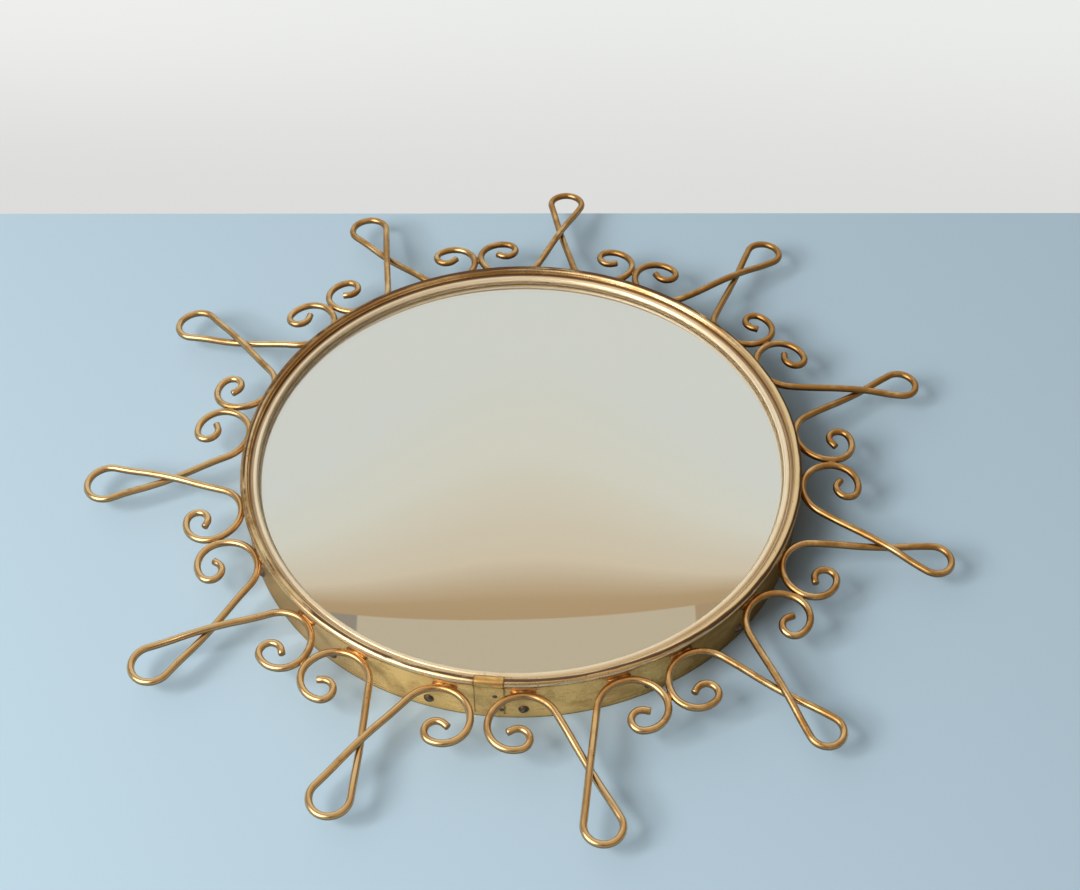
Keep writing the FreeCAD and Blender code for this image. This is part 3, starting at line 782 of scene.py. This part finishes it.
def smooth_piece(name, verts, faces, finish):
    mesh = bpy.data.meshes.new(name)
    mesh.from_pydata(verts, [], faces)
    mesh.polygons.foreach_set("use_smooth", [True] * len(mesh.polygons))
    mesh.set_sharp_from_angle(angle=math.radians(SHARP_ANGLE))
    mesh.materials.append(finish)
    return link_object(name, mesh)


def open_ring(name, outline, seam, finish):
    """A ring whose ends stop short of each other at its seam."""
    place, opening = seam
    gap = math.degrees(opening / outline[0][0])
    return turned_ring(name, outline, place + gap / 2, 360.0 - gap, finish)


def make_band(finish):
    """The band: an upright strip with its front edge rolled outwards into a bead."""
    hollow = BEAD_SECTION - BAND_SHEET
    outer = -math.degrees(math.acos((SKIRT_RADIUS - BEAD_CENTRE[0]) / BEAD_SECTION))
    inner = -math.degrees(math.acos((SKIRT_RADIUS - BAND_SHEET - BEAD_CENTRE[0]) / hollow))
    outline = [(SKIRT_RADIUS - BAND_SHEET, 0), (SKIRT_RADIUS, 0)]
    outline += section(BEAD_CENTRE, BEAD_SECTION, outer, ROLL_END)
    outline += section(BEAD_CENTRE, hollow, ROLL_END, inner)
    fit_piece(open_ring("rolled_band", outline, BAND_SEAM, finish), "band_brass", "band")


def make_joint_strap(finish):
    """The strap over the band's joint, wrapped over the bead."""
    sides = []
    for offset in STRAP_OFFSETS:
        radius = BEAD_SECTION + offset
        outer = -math.degrees(math.acos((SKIRT_RADIUS + offset - BEAD_CENTRE[0]) / radius))
        sides.append([(SKIRT_RADIUS + offset, STRAP_FOOT)] + section(BEAD_CENTRE, radius, outer, STRAP_END))
    sweep = math.degrees(STRAP_WIDTH / SKIRT_RADIUS)
    outline = sides[1] + sides[0][::-1]
    strap = turned_ring("joint_strap", outline, BAND_SEAM[0] - sweep / 2, sweep, finish)
    fit_piece(strap, "band_brass", "joint_cover")


def make_bezel(finish):
    """The ring that holds the glass: a flange under the roll, a groove, a half-round and a lip."""
    half = BEZEL_SHEET / 2
    bead = (BEZEL_FACE + half + BEZEL_BEAD, BEZEL_FOOT + BEZEL_LIP)
    slope = math.radians(BEZEL_SLOPE)
    reach = BEZEL_BEAD + BEZEL_COVE
    cove = (bead[0] + reach * math.cos(slope), bead[1] + reach * math.sin(slope))
    flange = SKIRT_RADIUS - BAND_SHEET - BEZEL_CLEARANCE
    turn = 180.0 + BEZEL_SLOPE
    outline = [(BEZEL_FACE + BEZEL_SHEET, BEZEL_FOOT)]
    outline += section(bead, BEZEL_BEAD - half, 180.0, BEZEL_SLOPE)
    outline += section(cove, BEZEL_COVE + half, turn, 270.0)
    outline += [(flange, cove[1] - BEZEL_COVE - half), (flange, cove[1] - BEZEL_COVE + half)]
    outline += section(cove, BEZEL_COVE - half, 270.0, turn)
    outline += section(bead, BEZEL_BEAD + half, BEZEL_SLOPE, 180.0)
    outline += [(BEZEL_FACE, BEZEL_FOOT)]
    fit_piece(open_ring("glass_bezel", outline, BEZEL_SEAM, finish), "bezel_brass", "front_bezel")


def make_glass(clear, silver):
    """The domed glass: clear in front and silvered behind, fine enough for clean reflections."""
    radius = glass_high.x
    front = (radius**2 + GLASS_RISE**2) / (2 * GLASS_RISE)
    centre = glass_high.z - front
    outwards = [radius * ring / GLASS_RINGS for ring in range(GLASS_RINGS + 1)]
    outline = [(distance, centre + math.sqrt(front**2 - distance**2)) for distance in outwards]
    rear = front - GLASS_THICKNESS
    outline += [(distance, centre + math.sqrt(rear**2 - distance**2)) for distance in reversed(outwards)]
    verts = [(0, 0, outline[0][1])]
    faces = []
    for distance, height in outline[1:-1]:
        for spoke in range(GLASS_SPOKES):
            angle = math.tau * spoke / GLASS_SPOKES
            verts.append((distance * math.cos(angle), distance * math.sin(angle), height))
    verts.append((0, 0, outline[-1][1]))
    last = len(verts) - 1
    rings = len(outline) - 2
    for spoke in range(GLASS_SPOKES):
        beside = (spoke + 1) % GLASS_SPOKES
        faces.append((0, 1 + spoke, 1 + beside))
        for ring in range(rings - 1):
            here = 1 + ring * GLASS_SPOKES
            there = here + GLASS_SPOKES
            faces.append((here + spoke, there + spoke, there + beside, here + beside))
        end = 1 + (rings - 1) * GLASS_SPOKES
        faces.append((end + spoke, last, end + beside))
    glass = smooth_piece("domed_glass", verts, faces, clear)
    glass.data.materials.append(silver)
    silvered = [int(face.normal.z < FRONT_FACING) for face in glass.data.polygons]
    glass.data.polygons.foreach_set("material_index", silvered)
    fit_piece(glass, "silvered_glass", "mirror_glass")


# Stage, light and view

TO_VIEW = Matrix.Rotation(math.radians(VIEW_TURN), 3, "Z")
STAGE_SKEW = 0.95
TO_STAGE = Matrix.Rotation(math.radians(VIEW_TURN - STAGE_SKEW), 3, "Z")
FLOOR_BACK = 0.268
FLOOR_SIDE = 4.0
WALL_PALE = (0.80, 0.815, 0.79)
KEY_DIRECTION = Vector((-0.64, -0.42, 0.65))
KEY_DISTANCE = 3.0
KEY_SIDE = 1.4
KEY_POWER = 74.0
KEY_GLOW = (4.0, 3.8, 3.5)
KEY_GLOW_SPREAD = (0.86, 0.985)
FILL_LEFT = 0.80
FILL_RIGHT = 0.05
FILL_TURN = (-0.6, 0.35)
HOOD_EDGE = (0.269, 0.026, 0.49)
HOOD_DEPTH = 1.5
HOOD_NARROWING = 5.0
OPENING_SIDES = (0.148, 0.143)


def flat_sheet(name, near, far, material):
    """A stage sheet on the floor, square to the view, from one distance to another."""
    corners = [(-FLOOR_SIDE, near), (FLOOR_SIDE, near), (FLOOR_SIDE, far), (-FLOOR_SIDE, far)]
    mesh = bpy.data.meshes.new(name)
    mesh.from_pydata([TO_STAGE @ Vector((x, y, 0)) for x, y in corners], [], [(0, 1, 2, 3)])
    mesh.materials.append(material)
    link_object(name, mesh)


def floor_finish():
    """Pale blue paint, a little darker to the right as painted shade."""
    paint = Finish("floor_paint")
    tone = paint.noise(paint.place, 5.0, 3.0)
    # Painted shade: the paint darkens towards the right.
    colour = paint.mix(paint.between(paint.x, -0.6, 0.6), (0.53, 0.69, 0.79), (0.48, 0.625, 0.72))
    colour = paint.mix(tone * 0.3, colour, (0.53, 0.68, 0.775))
    return paint.finish({"Base Color": colour, "Roughness": 0.6, "Specular IOR Level": 0.25})


def seen_share(tree):
    """1 for rays that show the background: from the camera, a reflection or through glass."""
    straight = tree.node("ShaderNodeLightPath", output="Is Camera Ray")
    mirrored = straight.output("Is Glossy Ray")
    return straight.at_least(mirrored).at_least(straight.output("Is Transmission Ray"))


def backdrop_finish():
    """Pale backdrop: as bright as it is painted where it is seen, and matt white to the lamps."""
    paint = Finish("backdrop_paint")
    # Painted light and shade: darker near the floor's back edge and lighter to the left.
    depth = paint.between(paint.y, FLOOR_BACK - 0.02, FLOOR_BACK + 0.30)
    colour = paint.mix(depth, (0.72, 0.722, 0.705), (0.825, 0.84, 0.815))
    colour = paint.mix(paint.between(paint.x, 0.1, -0.5) * depth, colour, (0.86, 0.87, 0.855))
    shown = paint.node("ShaderNodeEmission", None, {"Color": colour})
    matt = paint.node("ShaderNodeBsdfDiffuse", None, {"Color": (*WALL_PALE, 1.0)})
    both = paint.node("ShaderNodeMixShader", None, {0: seen_share(paint), 1: matt, 2: shown})
    paint.node("ShaderNodeOutputMaterial", None, {"Surface": both})
    return paint.material


def room_world():
    """Soft white fill, and the room that metal and glass reflect: a warm hood overhead with a bowed edge."""
    world = bpy.data.worlds.new("pale_room")
    world.use_nodes = True
    bpy.context.scene.world = world
    room = Tree(world.node_tree)
    x, y, z = room.axes(room.node("ShaderNodeTexCoord", output="Generated"))
    turn = math.radians(VIEW_TURN)
    across = x * math.cos(turn) + y * math.sin(turn)
    away = y * math.cos(turn) - x * math.sin(turn)
    up = z.at_least(0.05)
    u = across / up
    v = away / up
    middle, slant, bow = HOOD_EDGE
    past_edge = v - (middle + u * slant + u * u * bow)
    hood = room.ramp(past_edge / HOOD_DEPTH * (1 + u * u * HOOD_NARROWING), [
        (0.0, (0.55, 0.383, 0.22)), (0.035, (0.572, 0.407, 0.241)), (0.115, (0.788, 0.671, 0.523)),
        (0.385, (0.82, 0.80, 0.717)), (0.9, WALL_PALE)])
    front = room.ramp(v * -0.5, [
        (0.0, (0.639, 0.543, 0.404)), (0.15, (0.60, 0.51, 0.38)), (0.5, (0.24, 0.20, 0.16)),
        (1.0, (0.12, 0.10, 0.08))])
    opening = room.between(u * u, *OPENING_SIDES)
    beside = room.mix(u > 0.0, (0.37, 0.32, 0.26), (0.50, 0.36, 0.22))
    front = room.mix(opening, beside, front)
    view = room.mix(past_edge > 0.0, front, hood)
    view = room.mix(room.between(u, 0.9, 2.6) * 0.85, view, (0.13, 0.11, 0.09))
    lamp = KEY_DIRECTION.normalized()
    towards_lamp = across * lamp.x + away * lamp.y + z * lamp.z
    view = room.mix(room.between(towards_lamp, *KEY_GLOW_SPREAD), view, KEY_GLOW)
    shown = room.node("ShaderNodeBackground", None, {"Color": view, "Strength": 1.0})
    soft = room.mix(room.between(across, *FILL_TURN), (FILL_LEFT,) * 3, (FILL_RIGHT,) * 3)
    fill = room.node("ShaderNodeBackground", None, {"Color": soft, "Strength": 1.0})
    both = room.node("ShaderNodeMixShader", None, {0: seen_share(room), 1: fill, 2: shown})
    room.node("ShaderNodeOutputWorld", None, {"Surface": both})


def key_lamp():
    """One large soft lamp from the left and front."""
    data = bpy.data.lights.new("soft_key", "AREA")
    data.energy = KEY_POWER
    data.size = KEY_SIDE
    lamp = link_object("soft_key", data)
    lamp.visible_glossy = False
    place = TO_VIEW @ KEY_DIRECTION.normalized() * KEY_DISTANCE
    lamp.matrix_world = Matrix.Translation(place) @ place.to_track_quat("Z", "Y").to_matrix().to_4x4()


def camera():
    """The photograph's view: from the front and above, turned a little about the object."""
    data = bpy.data.cameras.new("camera")
    data.sensor_width = SENSOR_WIDTH
    data.lens = FOCAL_PIXELS / IMAGE_WIDTH * SENSOR_WIDTH
    elevation = math.radians(VIEW_ELEVATION)
    forward = Vector((0, math.cos(elevation), -math.sin(elevation)))
    sideways = Vector((1, 0, 0))
    upwards = sideways.cross(forward)
    roll = Matrix.Rotation(-math.radians(VIEW_ROLL), 3, -forward)
    axes = Matrix((roll @ sideways, roll @ upwards, -forward)).transposed()
    place = VIEW_TARGET - forward * VIEW_DISTANCE
    made = link_object("camera", data)
    made.matrix_world = Matrix.Translation(TO_VIEW @ place) @ (TO_VIEW @ axes).to_4x4()
    bpy.context.scene.camera = made


def build():
    wire = bent_wire_recipe()
    fillets = fillet_recipe()
    make_rays(wire, aged_wire_brass())
    braze = brazing()
    make_rim_fillets(fillets, braze)
    make_scroll_fillets(fillets, braze)
    make_glass(clear_glass(), silvering())
    screws = oxidised_steel()
    make_band(band_brass())
    make_joint_strap(strap_brass())
    make_bezel(bezel_brass())
    hanger = plated_steel()
    for node in ("joint_rivets", "band_screws"):
        dress_node(node, screws)
    dress_node("glass_packing", strawboard())
    dress_node("back_board", plywood())
    for node in ("hanger_plate", "hanger_ring", "hanger_screws"):
        dress_node(node, hanger)
    flat_sheet("floor", -FLOOR_SIDE, FLOOR_BACK, floor_finish())
    flat_sheet("backdrop", FLOOR_BACK, 2 * FLOOR_SIDE, backdrop_finish())
    room_world()
    key_lamp()
    camera()
    bpy.context.scene.view_settings.view_transform = "Standard"


build()
